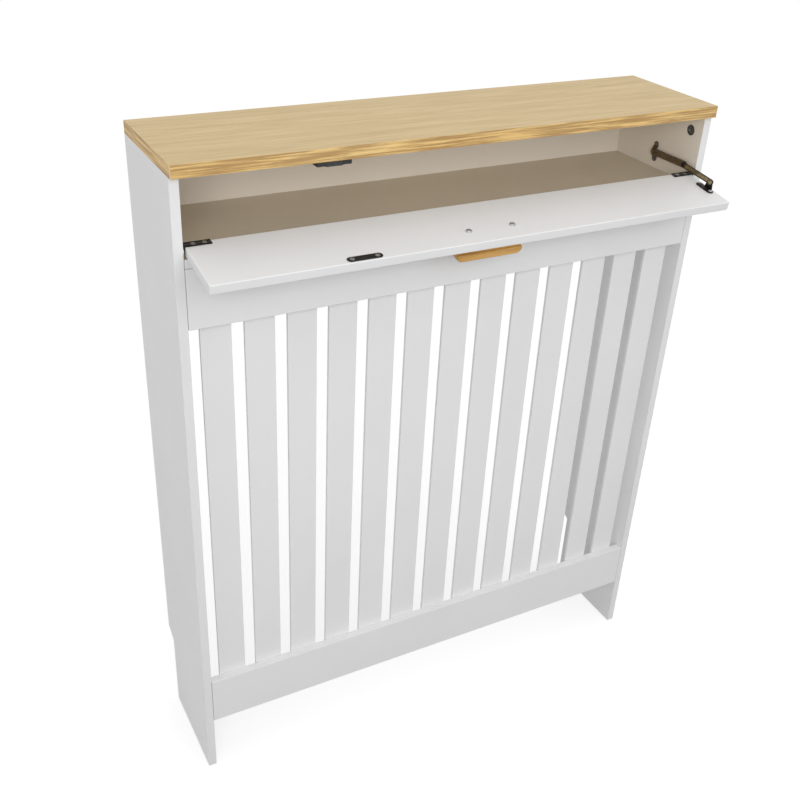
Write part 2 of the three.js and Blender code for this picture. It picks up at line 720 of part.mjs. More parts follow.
// On the flap: drawn closed, like the other flap pieces.
const stayFrontY = flapThickness + stayFrontStand;
const stayFrontZ = flapLow + stayFrontRise;
const stayPlateZ = stayFrontZ + stayFlapPlateOffset;
const stayPlateScrewZs = [1, -1].map((k) => stayPlateZ + k * stayFlapScrewSpacing / 2);
const stayPlateX = inward(1, tabNear + stayFlapPlateWidth / 2);
const stayPlateFace = flapThickness + seat;
function stayFlapBracket() {
  const end = stayFlapPlateLength / 2 - stayFlapPlateWidth / 2;
  const plateShape = strip([stayPlateX, stayPlateZ - end], [stayPlateX, stayPlateZ + end], stayFlapPlateWidth);
  const plate = sweep(plateShape, 'y', stayPlateFace, stayPlateFace + stayPlateThickness);
  const radius = stayFrontArmWidth / 2;
  const tabShape = new THREE.Shape();
  tabShape.moveTo(stayPlateFace, stayFrontZ - radius - 1);
  tabShape.absarc(stayFrontY, stayFrontZ, radius, -Math.PI / 2, Math.PI / 2, false);
  tabShape.lineTo(stayPlateFace, stayFrontZ + radius + 1);
  tabShape.closePath();
  const tab = sweep(tabShape, 'x', ...staySpan(tabNear, tabFar));
  const holes = stayPlateScrewZs.map((z) => bar('y', [stayPlateX, z], stayPlateFace - 1,
    stayPlateFace + stayPlateThickness + 1, stayScrew.shankRadius + runningGap));
  holes.push(bar('x', [stayFrontY, stayFrontZ], ...staySpan(tabNear - 1, tabFar + 1), rivetHole));
  return cut(join([plate, tab]), holes);
}
addToFlap('stay_flap_bracket', stayFlapBracket(), bronze);
stayPlateScrewZs.forEach((z, i) => {
  const geometry = panScrew(stayScrew, stayScrew.length);
  geometry.translate(stayPlateX, stayPlateFace + stayPlateThickness + seat, z);
  addToFlap(`stay_flap_screw_${['outer', 'inner'][i]}`, geometry, bronze);
});
addToFlap('stay_front_rivet',
  stayRivet([stayFrontY, stayFrontZ], frontArmNear - seat, tabFar + seat), bronze);

// ---- flap board, bored for everything that is screwed or pinned into it

function flapBoard() {
  const blank = board(
    [-flapWidth / 2, 0, flapLow],
    [flapWidth / 2, flapThickness, flapTop],
  );
  const bores = handleScrewXs.map((x) => bar('y', [x, handleZ], -1, flapThickness + 1,
    handleScrew.shankRadius + runningGap));
  // A blind hole for a screw whose length is counted from a height on the inner face's side.
  const blind = (x, z, { shankRadius, length }, from) => bar('y', [x, z],
    from - length - bottomingGap, flapThickness + 1, shankRadius + runningGap);
  for (const x of strikeScrewXs) {
    bores.push(blind(x, strikeZ, plateScrew, strikeFace));
  }
  for (const z of stayPlateScrewZs) {
    bores.push(blind(stayPlateX, z, stayScrew, stayPlateFace + stayPlateThickness + seat));
  }
  for (const { sign } of sides) {
    for (const w of hingeScrewReach) {
      bores.push(blind(inward(sign, w), hingeScrewZ, plateScrew, hingeFace + hingeThickness));
    }
    bores.push(bar('x', [axisY, axisZ],
      ...inwardSpan(sign, flapGap - 1, flapGap + hingePinInFlap + bottomingGap), hingePinRadius + runningGap));
  }
  return cut(blank, bores);
}
addToFlap('flap_board', flapBoard(), whitePaint);

// ---------------------------------------------------------------- placing

// The origin is on the floor, in the middle of the whole object with its flap open.
const freeEdge = pivotHeight - flapHeight;
const flapFront = Math.min(
  openPoint(flapThickness / 2 - edgeEase, -freeEdge).y,
  openPoint(flapThickness / 2, -freeEdge - edgeEase).y,
);
cabinet.position.y = -(flapFront + panelDepth) / 2;

export default cabinet;
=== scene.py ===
# %% [markdown]
# # A radiator cover cabinet
# This is flat-pack furniture: white painted boards, an oak-effect top, and a drop-down flap on small metal
# fittings. The measured parts come first, and every piece made below takes its place from them.

# %% Load the measured parts
import json
import math

import bmesh
import bpy
from mathutils import Matrix, Quaternion, Vector


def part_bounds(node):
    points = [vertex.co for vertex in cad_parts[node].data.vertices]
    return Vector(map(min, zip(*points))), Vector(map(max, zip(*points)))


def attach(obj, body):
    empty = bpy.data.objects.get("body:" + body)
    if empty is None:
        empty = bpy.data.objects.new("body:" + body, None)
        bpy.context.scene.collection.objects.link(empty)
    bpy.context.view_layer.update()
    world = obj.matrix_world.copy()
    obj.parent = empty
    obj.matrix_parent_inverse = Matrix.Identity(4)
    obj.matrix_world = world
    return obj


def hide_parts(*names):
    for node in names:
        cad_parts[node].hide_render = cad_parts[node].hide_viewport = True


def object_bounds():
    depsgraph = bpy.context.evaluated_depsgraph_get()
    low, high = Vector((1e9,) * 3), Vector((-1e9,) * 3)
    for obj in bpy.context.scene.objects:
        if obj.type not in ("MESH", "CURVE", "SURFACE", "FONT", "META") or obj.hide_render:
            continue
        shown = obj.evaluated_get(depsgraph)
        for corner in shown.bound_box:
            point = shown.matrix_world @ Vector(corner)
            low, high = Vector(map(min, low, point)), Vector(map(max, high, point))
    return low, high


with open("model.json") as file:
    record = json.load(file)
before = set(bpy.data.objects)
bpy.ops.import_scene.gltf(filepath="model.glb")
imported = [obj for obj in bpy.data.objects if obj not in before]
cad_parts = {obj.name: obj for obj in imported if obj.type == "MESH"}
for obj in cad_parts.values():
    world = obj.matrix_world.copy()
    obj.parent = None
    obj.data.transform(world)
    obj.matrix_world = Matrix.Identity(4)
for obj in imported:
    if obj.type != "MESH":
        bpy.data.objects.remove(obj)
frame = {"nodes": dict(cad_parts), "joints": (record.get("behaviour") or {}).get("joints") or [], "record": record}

measured_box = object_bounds()
print("measured size in metres:", [round(v, 4) for v in measured_box[1] - measured_box[0]])

# %% [markdown]
# ## The camera
# A render that is to be laid beside a photograph needs the same lens and viewpoint. Both were worked out from the
# corners of the boards. The picture is 800 pixels wide, so the focal length in pixels becomes a lens in
# millimetres through the sensor's width. The best fit also rolls the camera by three degrees.

# %% Set up the camera
picture_width = 800
focal_pixels = 1030.5
camera_place = Vector((-0.6878, -1.1166, 1.3031))
camera_azimuth = math.radians(-29.353)
camera_elevation = math.radians(30.427)
camera_roll = math.radians(3.021)

camera_data = bpy.data.cameras.new("camera")
camera_data.sensor_width = 36
camera_data.lens = focal_pixels / picture_width * camera_data.sensor_width
camera = bpy.data.objects.new("camera", camera_data)
bpy.context.scene.collection.objects.link(camera)
towards_camera = Vector((
    math.sin(camera_azimuth) * math.cos(camera_elevation),
    -math.cos(camera_azimuth) * math.cos(camera_elevation),
    math.sin(camera_elevation),
))
camera.rotation_mode = "QUATERNION"
camera.rotation_quaternion = (-towards_camera).to_track_quat("-Z", "Y") @ Quaternion((0, 0, 1), camera_roll)
camera.location = camera_place
bpy.context.scene.camera = camera
print("lens:", round(camera_data.lens, 2), "mm")

# %% [markdown]
# ## Places, with the flap shut
# The flap is shown open, so its parts lie at an odd angle. A joiner would work on it flat on the bench, and so its
# parts are shaped here with the flap shut, square to the axes. The finished mesh is then turned open about the
# hinge axis.

# %% The hinge axis, and a part's box with the flap shut
hinge = next(joint for joint in frame["joints"] if joint["name"] == "flap_hinge")
hinge_axis = Vector(hinge["pos_m"])
swing = Matrix.Rotation(math.radians(hinge["range_deg"][1]), 4, "X")
opening = Matrix.Translation(hinge_axis) @ swing @ Matrix.Translation(-hinge_axis)
closing = opening.inverted()
bodies = frame["record"]["behaviour"]["bodies"]
body_of = {node: body for body, nodes in bodies.items() for node in nodes}


def part_box(node):
    """Lowest and highest corner of a part, with the flap shut."""
    if body_of[node] != "flap":
        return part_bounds(node)
    corners = list(zip(*[closing @ vertex.co for vertex in frame["nodes"][node].data.vertices]))
    return Vector([min(c) for c in corners]), Vector([max(c) for c in corners])


flap_low, flap_high = part_box("flap_board")
print("flap, shut:", [round(v, 4) for v in flap_high - flap_low])

# %% [markdown]
# ## Bench tools
# A few helpers do most of the work: a block, a cylinder, a rounding of edges, a cut that adds new edges, and a
# profile spun into a turned part. All are bmesh operators. Real edges are never quite sharp, and the thin highlight
# on a rounded edge is what makes a rendered board look solid.

# %% A block and a cylinder
MM = 0.001
round_segments = 40


def block(low, high):
    """A box between two corners."""
    bm = bmesh.new()
    bmesh.ops.create_cube(bm, size=1)
    bmesh.ops.scale(bm, vec=Vector(high) - Vector(low), verts=bm.verts)
    bmesh.ops.translate(bm, vec=(Vector(high) + Vector(low)) / 2, verts=bm.verts)
    return bm


def cylinder(start, end, radius):
    """A cylinder between two points."""
    start, end = Vector(start), Vector(end)
    bm = bmesh.new()
    bmesh.ops.create_cone(bm, cap_ends=True, segments=round_segments, radius1=radius, radius2=radius,
                          depth=(end - start).length)
    aim = (end - start).to_track_quat("Z", "Y").to_matrix().to_4x4()
    bmesh.ops.transform(bm, matrix=Matrix.Translation((start + end) / 2) @ aim, verts=bm.verts)
    return bm


# %% Edges to pick, and to round
facet_angle = 28
sheet_angle = 60
nearly_along = 0.9
tiny = 0.1 * MM


def edges_along(bm, axis, near=None):
    """Edges that run along axis 0, 1 or 2. near(middle) may pick some of them."""
    found = []
    for edge in bm.edges:
        step = edge.verts[1].co - edge.verts[0].co
        middle = (edge.verts[0].co + edge.verts[1].co) / 2
        if abs(step[axis]) > 0.99 * step.length and (near is None or near(middle)):
            found.append(edge)
    return found


def sharp_edges(bm, degrees=facet_angle):
    """Edges where the surface turns by more than an angle. By default, more than at a shallow facet."""
    return [edge for edge in bm.edges if edge.calc_face_angle(0) > math.radians(degrees)]


def ease(bm, radius, edges=None, segments=3):
    """Rounds the given edges, or every sharp one."""
    bmesh.ops.bevel(bm, geom=sharp_edges(bm) if edges is None else edges, offset=radius, offset_type="OFFSET",
                    segments=segments, profile=0.5, affect="EDGES", clamp_overlap=True, material=-1)
    return bm


# %% A cut, an extrusion and a turned part
same_point = 1e-7
dome_steps = 6


def slice_at(bm, places, axis):
    """Marks new edges where planes cut a mesh across an axis."""
    normal = [1.0 if i == axis else 0.0 for i in range(3)]
    for place in places:
        point = [place if i == axis else 0.0 for i in range(3)]
        bmesh.ops.bisect_plane(bm, geom=bm.verts[:] + bm.edges[:] + bm.faces[:], dist=same_point, plane_co=point,
                               plane_no=normal)


def move_new(bm, grown, step):
    """Moves the new end of an extrusion and returns its vertices."""
    verts = [element for element in grown["geom"] if isinstance(element, bmesh.types.BMVert)]
    bmesh.ops.translate(bm, vec=step, verts=verts)
    return verts


def turned(points, closed=False, segments=round_segments):
    """Spins a profile of (radius, height) points round the z axis. A closed profile makes a ring."""
    bm = bmesh.new()
    verts = [bm.verts.new((radius, 0, height)) for radius, height in points]
    pairs = list(zip(verts, verts[1:])) + ([(verts[-1], verts[0])] if closed else [])
    edges = [bm.edges.new(pair) for pair in pairs]
    bmesh.ops.spin(bm, geom=verts + edges, cent=(0, 0, 0), axis=(0, 0, 1), angle=math.tau, steps=segments,
                   use_merge=True)
    bmesh.ops.remove_doubles(bm, verts=bm.verts, dist=same_point)
    bmesh.ops.recalc_face_normals(bm, faces=bm.faces)
    return bm


def dome(radius, low, height):
    """Profile points of a dome, from its rim up to its top."""
    angles = [math.pi / 2 * step / dome_steps for step in range(dome_steps + 1)]
    return [(radius * math.cos(angle), low + height * math.sin(angle)) for angle in angles]


# %% [markdown]
# ## From bench to cabinet
# Holes are cut with a Boolean modifier, which needs no thought about the faces of the board, and it is applied at
# once. Then the piece gets its finish, smooth shading with crisp edges, and a Weighted Normal modifier, which keeps
# the big faces flat right up to their rounded edges. Last it takes the place of its measured part and rides on that
# part's body.

# %% Cut holes, and put a finished piece in place
seam_width = 0.01 * MM
crease_angle = 40


def to_object(bm, name):
    """A new object in the scene, made from a bmesh that isn't needed any more."""
    mesh = bpy.data.meshes.new(name)
    bm.to_mesh(mesh)
    bm.free()
    made = bpy.data.objects.new(name, mesh)
    bpy.context.scene.collection.objects.link(made)
    return made


def drill(piece, cutters):
    """Cuts closed bmeshes out of a piece."""
    together = bmesh.new()
    for cutter in cutters:
        mesh = bpy.data.meshes.new("cutter")
        cutter.to_mesh(mesh)
        together.from_mesh(mesh)
        bpy.data.meshes.remove(mesh)
        cutter.free()
    tool = to_object(together, "cutters")
    tool_mesh = tool.data
    holes = piece.modifiers.new("holes", "BOOLEAN")
    holes.operation = "DIFFERENCE"
    holes.solver = "EXACT"
    holes.use_self = True
    holes.object = tool
    bpy.context.view_layer.update()
    uncut = piece.data
    cut = bpy.data.meshes.new_from_object(piece.evaluated_get(bpy.context.evaluated_depsgraph_get()))
    piece.modifiers.clear()
    seams = bmesh.new()
    seams.from_mesh(cut)
    bmesh.ops.remove_doubles(seams, verts=seams.verts, dist=seam_width)
    seams.to_mesh(cut)
    seams.free()
    piece.data = cut
    bpy.data.meshes.remove(uncut)
    bpy.data.objects.remove(tool)
    bpy.data.meshes.remove(tool_mesh)


def fit(bm, node, slot, *finishes, cutters=(), place=None):
    """Makes a shaped bmesh the finished piece that stands for a measured part."""
    if place is not None:
        bmesh.ops.transform(bm, matrix=place, verts=bm.verts)
    piece = to_object(bm, "finished_" + node)
    if cutters:
        drill(piece, cutters)
    if body_of[node] == "flap":
        piece.data.transform(opening)
    finish_of_face = [face.material_index for face in piece.data.polygons]
    piece.data.materials.clear()
    for finish in finishes:
        piece.data.materials.append(finish)
    piece.data.polygons.foreach_set("material_index", finish_of_face)
    piece.data.shade_smooth()
    piece.data.set_sharp_from_angle(angle=math.radians(crease_angle))
    flat = piece.modifiers.new("flat_faces", "WEIGHTED_NORMAL")
    flat.keep_sharp = True
    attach(piece, body_of[node])
    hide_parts(node)
    return piece


# %% [markdown]
# ## Finishes
# A material is a small network of nodes. The helpers below add what most finishes share: a noise pattern that can
# be stretched along an axis, a colour ramp on it, and a bump from it. The noise reads Object coordinates, in metres,
# so a scale of 1000 is a pattern about a millimetre across. As every object sits at the origin, a grain never slides.

# %% Helpers for finishes
def shader_input(material, name):
    """One input of a finish's Principled shader."""
    return material.node_tree.nodes["Principled BSDF"].inputs[name]


def wire(owner, source, target):
    """Links two sockets in a material or a world."""
    owner.node_tree.links.new(source, target)


def finish(name, colour, roughness, metallic=0.0):
    """A new material with a plain Principled shader."""
    material = bpy.data.materials.new(name)
    material.use_nodes = True
    for socket, value in (("Base Color", (*colour, 1)), ("Roughness", roughness), ("Metallic", metallic)):
        shader_input(material, socket).default_value = value
    return material


def add_node(material, kind, **values):
    """Adds a shader node and sets its properties."""
    node = material.node_tree.nodes.new("ShaderNode" + kind)
    for key, value in values.items():
        setattr(node, key, value)
    return node


def noise(material, scale, stretch=(1, 1, 1), detail=3.0, distortion=0.0):
    """A noise pattern. stretch lengthens it along x, y and z."""
    where = add_node(material, "TexCoord")
    mapping = add_node(material, "Mapping")
    mapping.inputs["Scale"].default_value = [scale / s for s in stretch]
    pattern = add_node(material, "TexNoise")
    pattern.inputs["Scale"].default_value = 1
    pattern.inputs["Detail"].default_value = detail
    pattern.inputs["Distortion"].default_value = distortion
    wire(material, where.outputs["Object"], mapping.inputs["Vector"])
    wire(material, mapping.outputs["Vector"], pattern.inputs["Vector"])
    return pattern.outputs["Fac"]


def ramp(material, source, *stops):
    """A colour ramp with two stops of (place, colour)."""
    node = add_node(material, "ValToRGB")
    for element, (place, colour) in zip(node.color_ramp.elements, stops):
        element.position = place
        element.color = (*colour, 1)
    wire(material, source, node.inputs["Fac"])
    return node.outputs["Color"]


def blend_colours(material, factor, first, second):
    """Mixes two colours or colour sockets by a number or a socket."""
    node = add_node(material, "Mix", data_type="RGBA")
    if isinstance(factor, float):
        node.inputs["Factor"].default_value = factor
    else:
        wire(material, factor, node.inputs["Factor"])
    for socket, source in (("A", first), ("B", second)):
        target = next(i for i in node.inputs if i.name == socket and i.type == "RGBA")
        if isinstance(source, tuple):
            target.default_value = (*source, 1)
        else:
            wire(material, source, target)
    return next(o for o in node.outputs if o.type == "RGBA")


def vary(material, socket, source, low, high):
    """Drives a shader input between two values, over the middle of a noise's range."""
    spread = add_node(material, "MapRange")
    for name, value in (("From Min", 0.3), ("From Max", 0.7), ("To Min", low), ("To Max", high)):
        spread.inputs[name].default_value = value
    wire(material, source, spread.inputs["Value"])
    wire(material, spread.outputs["Result"], shader_input(material, socket))


def relief(material, source, depth, strength):
    """Bumps the surface by a pattern, to a depth in metres."""
    bump = add_node(material, "Bump")
    bump.inputs["Strength"].default_value = strength
    bump.inputs["Distance"].default_value = depth
    wire(material, source, bump.inputs["Height"])
    wire(material, bump.outputs["Normal"], shader_input(material, "Normal"))


# %% [markdown]
# ## White paint
# The boards are fibreboard with a satin white film. Up close such a film has a faint orange peel, about a
# millimetre across, and its gloss and tone drift a little over the board. All three are small: too much of any of
# them and the board looks like plaster. Inside the compartment the white carries painted shade: it is painted
# warmer and darker than outside, and the shelf's top darkest, in place of shade under the top and warm bounced light.

# %% White painted board
film_drift = 0.975
film_gloss = (0.40, 0.50)
peel_depth = 0.02 * MM


def white_paint(name, colour):
    """Satin white with a faint orange peel."""
    material = finish(name, colour, 0.45)
    darker = tuple(c * film_drift for c in colour)
    drift = ramp(material, noise(material, 7, detail=2), (0.35, darker), (0.65, colour))
    wire(material, drift, shader_input(material, "Base Color"))
    vary(material, "Roughness", noise(material, 90, detail=3), *film_gloss)
    relief(material, noise(material, 900, detail=2), peel_depth, 0.6)
    return material


white_board = white_paint("white_board", (0.80, 0.80, 0.805))
back_board = white_paint("back_hardboard", (0.76, 0.755, 0.74))
# Painted shade: a warmer, darker white for the compartment's inner faces, and a still darker warm white for the
# shelf's top, stand in for shade and warm bounced light.
painted_warm_shade_film = white_paint("painted_warm_shade_film", (0.84, 0.78, 0.695))
painted_shelf_shade_film = white_paint("painted_shelf_shade_film", (0.67, 0.60, 0.485))
print("paints:", white_board.name, back_board.name, painted_warm_shade_film.name, painted_shelf_shade_film.name)

# %% [markdown]
# ## Oak
# The top is printed oak foil. Three noises make it: broad soft bands, fine fibres, and short dark pores, all
# stretched along the board. Its edges are a separate banding of a warmer colour with stronger streaks, and each
# band's grain runs along its own edge. So there is one oak for the faces and one for each direction of edge.

# %% Oak, as faces, edge bands and a solid handle
fibre_depth = 0.05 * MM
lap_depth = 0.03 * MM


def oak(name, pale, mid, dark, along, band, streak, pores, roughness=0.5, streaks_from=0.36):
    """Oak whose grain runs along axis 0, 1 or 2. band, streak and pores are how strongly each shows, and
    streaks_from is how much of the wood the dark streaks take up."""
    streaks_to = streaks_from * 0.4 + 0.416

    def stretch(length):
        return tuple(length if axis == along else 1 for axis in range(3))

    material = finish(name, mid, roughness)
    bands = ramp(material, noise(material, 75, stretch(14), 3, 0.4), (0.32, mid), (0.66, pale))
    fibres = noise(material, 420, stretch(38), 4, 0.2)
    dark_fibres = ramp(material, fibres, (streaks_from, (1, 1, 1)), (streaks_to, (0, 0, 0)))
    fleck = noise(material, 1500, stretch(26), 1)
    dark_pores = ramp(material, fleck, (0.30, (1, 1, 1)), (0.40, (0, 0, 0)))
    board = blend_colours(material, band, mid, bands)
    lined = blend_colours(material, dark_fibres, board, blend_colours(material, streak, board, dark))
    wood = blend_colours(material, dark_pores, lined, blend_colours(material, pores, lined, dark))
    wire(material, wood, shader_input(material, "Base Color"))
    vary(material, "Roughness", fibres, roughness + 0.06, roughness - 0.05)
    relief(material, fibres, fibre_depth, 0.7)
    return material


oak_pale, oak_mid, oak_dark = (0.685, 0.52, 0.268), (0.575, 0.425, 0.20), (0.31, 0.195, 0.075)
edge_pale, edge_mid, edge_dark = (0.83, 0.595, 0.255), (0.74, 0.49, 0.18), (0.32, 0.17, 0.055)
handle_pale, handle_mid, handle_dark = (0.72, 0.43, 0.125), (0.60, 0.33, 0.082), (0.26, 0.11, 0.02)
oak_face = oak("oak_face", oak_pale, oak_mid, oak_dark, 0, 0.75, 0.24, 0.28)
oak_edge_front = oak("oak_edge_front", edge_pale, edge_mid, edge_dark, 0, 0.8, 0.75, 0.5, streaks_from=0.44)
oak_edge_end = oak("oak_edge_end", edge_pale, edge_mid, edge_dark, 1, 0.8, 0.75, 0.5, streaks_from=0.44)
oak_glue_line = finish("oak_glue_line", (0.70, 0.57, 0.38), 0.5)
relief(oak_glue_line, noise(oak_glue_line, 700), lap_depth, 0.5)
oak_handle = oak("oak_handle", handle_pale, handle_mid, handle_dark, 0, 0.8, 0.45, 0.5, 0.42)
print("oaks:", oak_face.name, oak_edge_front.name, oak_edge_end.name, oak_handle.name)

# %% [markdown]
# ## Metal and plastic
# The fittings are stamped or cast metal. A real plated surface is never one even grey: its gloss is patchy, and a
# brushed or rolled sheet shows fine lines. Bronze plating is dark brown. A paler copy of it is a painted highlight,
# on the face of the stay's front arm and on the front rivet, and a nearly black copy is painted shade, on that arm's
# rim, on the knee rivet and on the bracket of the flap. Each of the three is two colours in soft patches.

# %% Fittings
plating_depth = 0.01 * MM


def metal(name, light, dark, roughness, metallic, lines=(1, 1, 1)):
    """Metal in soft patches of two colours, with fine lines stretched along an axis."""
    material = finish(name, light, roughness, metallic)
    patches = ramp(material, noise(material, 500, detail=4), (0.35, dark), (0.62, light))
    wire(material, patches, shader_input(material, "Base Color"))
    fine = noise(material, 1800, lines, 3)
    vary(material, "Roughness", fine, roughness - 0.07, roughness + 0.09)
    relief(material, fine, plating_depth, 0.5)
    return material


black_steel = metal("black_steel", (0.026, 0.027, 0.030), (0.014, 0.0145, 0.016), 0.40, 0.4, (30, 1, 1))
bright_steel = metal("bright_steel", (0.60, 0.61, 0.63), (0.38, 0.39, 0.41), 0.28, 0.8)
antique_bronze = metal("antique_bronze", (0.24, 0.19, 0.125), (0.13, 0.10, 0.065), 0.36, 0.85)
# Painted highlight and painted shade: a paler and a nearly black copy of the same bronze, for fittings that catch
# light or lie in shade.
painted_highlight_bronze = metal("painted_highlight_bronze", (0.46, 0.37, 0.21), (0.27, 0.215, 0.12), 0.32, 0.85)
painted_shade_bronze = metal("painted_shade_bronze", (0.045, 0.042, 0.034), (0.020, 0.019, 0.016), 0.38, 0.7)
# Painted highlight: this pale zinc is used only on the floor of the hinge groove.
zinc = metal("zinc", (0.36, 0.36, 0.37), (0.24, 0.24, 0.25), 0.42, 0.85)
dark_zinc = metal("dark_zinc", (0.22, 0.22, 0.215), (0.14, 0.14, 0.135), 0.42, 0.85)
magnet_grey = metal("magnet", (0.060, 0.060, 0.062), (0.035, 0.035, 0.037), 0.5, 0.35)
black_plastic = metal("black_plastic", (0.022, 0.022, 0.023), (0.016, 0.016, 0.017), 0.48, 0.0)
white_plastic = metal("white_plastic", (0.80, 0.80, 0.78), (0.76, 0.76, 0.74), 0.42, 0.0)
print("finishes so far:", len(bpy.data.materials))

# %% [markdown]
# ## Holes for the fittings
# Every screw, pin, bush and cam sits in a hole. Each hole is a cylinder along its fitting's own axis, from the
# fitting's box, a running gap wider and a little deeper. A hole that starts past the board's face cuts cleanly.

# %% Cutters round fittings
running_gap = 0.3 * MM
past_face = 1 * MM


def hole(node, axis, radius=None, before=past_face, after=past_face):
    """A cutter round a fitting along axis 0, 1 or 2, from before its low end to after its high end."""
    low, high = part_box(node)
    middle = (low + high) / 2
    start, end = middle.copy(), middle.copy()
    start[axis] = low[axis] - before
    end[axis] = high[axis] + after
    across = (axis + 1) % 3
    size = (high[across] - low[across]) / 2 if radius is None else radius
    return cylinder(start, end, size + running_gap)


sides = (("left", -1), ("right", 1))
places = ("front", "back")
screw_shank = 1.5 * MM
handle_screw_shank = 2 * MM
cam_bolt_radius = 3 * MM
bush_sleeve_radius = 4 * MM
pin_radius = 2 * MM

# %% [markdown]
# ## The boards
# Most of the cabinet is plain boards: a block in each part's box, with rounded edges. Where two boards meet, each
# loses its sharp edge, and half a millimetre is left between a rail or the shelf and the side panels. Together
# they give the thin dark joint line that shows where one board ends. The shelf's upper face and the back's inner face
# get a painted shade, a darker warm white.

# %% Shelf, rails, back and slats
board_edge = 0.7 * MM
back_edge = 0.3 * MM
joint_gap = 0.5 * MM


def painted_shade_faces(bm, facing):
    """Gives the faces that look towards facing the second finish, which here is a painted shade."""
    for face in bm.faces:
        face.material_index = 1 if face.normal.dot(Vector(facing)) > nearly_along else 0
    return bm


def between_panels(node, lift=0.0):
    """A board with a joint line left at both ends, and under it where it is lifted."""
    low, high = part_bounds(node)
    return ease(block((low.x + joint_gap, low.y, low.z + lift), (high.x - joint_gap, high.y, high.z)), board_edge)


for node in ("top_rail", "bottom_rail"):
    fit(between_panels(node), node, "white_board", white_board)
# Painted shade: the shelf's top and the back panel's inner face take the darker warm whites.
shelf = painted_shade_faces(between_panels("compartment_shelf", joint_gap), (0, 0, 1))
fit(shelf, "compartment_shelf", "white_board", white_board, painted_shelf_shade_film)
back = painted_shade_faces(ease(block(*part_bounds("back_panel")), back_edge), (0, -1, 0))
fit(back, "back_panel", "back_hardboard", back_board, painted_warm_shade_film)
slats = sorted(node for node in frame["nodes"] if node.startswith("slat_"))
for node in slats:
    fit(ease(block(*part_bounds(node)), board_edge), node, "white_board", white_board)
print("slats:", len(slats))

# %% [markdown]
# ## Side panels
# A side panel is a board with a notch at the back of its foot, which clears the skirting board. Its outline is one
# face of six corners, and Extrude gives it its thickness. A plane at the shelf's top marks off the part inside the
# compartment, whose inner face is given the painted shade of warm white. The cams, their bolts and the hinge bush are
# let into it, and on the right the stay's two screws.

# %% Side panels
notch_depth = 23 * MM
notch_height = 128 * MM
notch_slope = 13 * MM


def side_panel(low, high, sign):
    """The notched board between two corners, with its inner face cut and given a painted shade above the shelf."""
    inner = high.y - notch_depth
    corners = [(low.y, low.z), (inner, low.z), (inner, low.z + notch_height),
               (high.y, low.z + notch_height + notch_slope), (high.y, high.z), (low.y, high.z)]
    bm = bmesh.new()
    outline = bm.faces.new([bm.verts.new((low.x, y, z)) for y, z in corners])
    move_new(bm, bmesh.ops.extrude_face_region(bm, geom=[outline]), (high.x - low.x, 0, 0))
    bmesh.ops.recalc_face_normals(bm, faces=bm.faces)
    ease(bm, board_edge)
    slice_at(bm, [shelf_top], 2)
    # Painted shade: the inner faces above the shelf take the warmer, darker white.
    for face in bm.faces:
        inside = face.normal.x * sign < -nearly_along and face.calc_center_median().z > shelf_top
        face.material_index = 1 if inside else 0
    return bm


shelf_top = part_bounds("compartment_shelf")[1].z
for side, sign in sides:
    node = f"side_panel_{side}"
    low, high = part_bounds(node)
    bores = [hole(f"hinge_bush_{side}", 0, bush_sleeve_radius)]
    for place in places:
        inner_side_only = (0, past_face) if sign < 0 else (past_face, 0)
        bores.append(hole(f"cam_lock_{side}_{place}", 0, None, *inner_side_only))
        bolt_low, bolt_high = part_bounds(f"cam_bolt_{side}_{place}")
        middle = (bolt_low + bolt_high) / 2
        bores.append(cylinder((middle.x, middle.y, bolt_low.z), (middle.x, middle.y, high.z + past_face),
                              cam_bolt_radius + running_gap))
    if side == "right":
        bores += [hole(f"stay_wall_screw_{end}", 0, screw_shank) for end in ("upper", "lower")]
    fit(side_panel(low, high, sign), node, "white_board", white_board, painted_warm_shade_film, cutters=bores)
print("side panels:", [side for side, _ in sides])

# %% [markdown]
# ## The top board
# The top is one eased board, but its faces and its edges have different finishes. After the rounding, every face
# of the mesh is given the finish that its own direction asks for. The four upright corners get a thin pale line,
# where one strip of banding laps over the next.

# %% Top board
def band_index(normal):
    """0 for the faces, 1 for the long edges, 2 for the ends and 3 for the corners between them."""
    x, y, z = (abs(v) for v in normal)
    if z > 0.8:
        return 0
    if x > 0.35 and y > 0.35:
        return 3
    return 2 if x > y else 1


top_edge = 0.8 * MM
top_corner = 1.2 * MM
top = block(*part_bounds("top_board"))
ease(top, top_corner, edges_along(top, 2))
ease(top, top_edge)
for face in top.faces:
    face.material_index = band_index(face.normal)
bores = [hole(f"cam_bolt_{side}_{place}", 2, cam_bolt_radius) for side, _ in sides for place in places]
bores += [hole(f"catch_screw_{side}", 2, screw_shank) for side, _ in sides]
top_piece = fit(top, "top_board", "oak_top", oak_face, oak_edge_front, oak_edge_end, oak_glue_line, cutters=bores)
print("top board faces:", len(top_piece.data.polygons))

# %% [markdown]
# ## The flap
# The flap is a plain board too, with its four corners rounded first and then its edges. A Bevel modifier could do
# that, but the holes are cut into the rounded board, so the operator does it at once.

# %% Flap board
flap_edge = 1.1 * MM
flap_corner = 2 * MM
board = block(flap_low, flap_high)
ease(board, flap_corner, edges_along(board, 1), segments=5)
ease(board, flap_edge, segments=4)
bores = [hole(f"handle_screw_{side}", 1, handle_screw_shank) for side, _ in sides]
bores += [hole(f"strike_screw_{side}", 1, screw_shank) for side, _ in sides]
bores += [hole(f"hinge_screw_{side}_{n}", 1, screw_shank) for side, _ in sides for n in (1, 2)]
bores += [hole(f"stay_flap_screw_{end}", 1, screw_shank) for end in ("outer", "inner")]
bores += [hole(f"hinge_pin_{side}", 0, pin_radius) for side, _ in sides]
fit(board, "flap_board", "white_board", white_board, cutters=bores)
print("flap board bores:", len(bores))

# %% [markdown]
# ## The handle
# The handle is a solid oak bar with a T section: a head to hold, on a narrower neck. A block makes the head. Its
# back face is cut in three by two planes, and the middle strip is extruded to make the neck. The two front
# corners get a large round first, then the long edges a smaller one that runs round the corners with it. What is
# still sharp after that, where the neck meets the head, is only dulled.

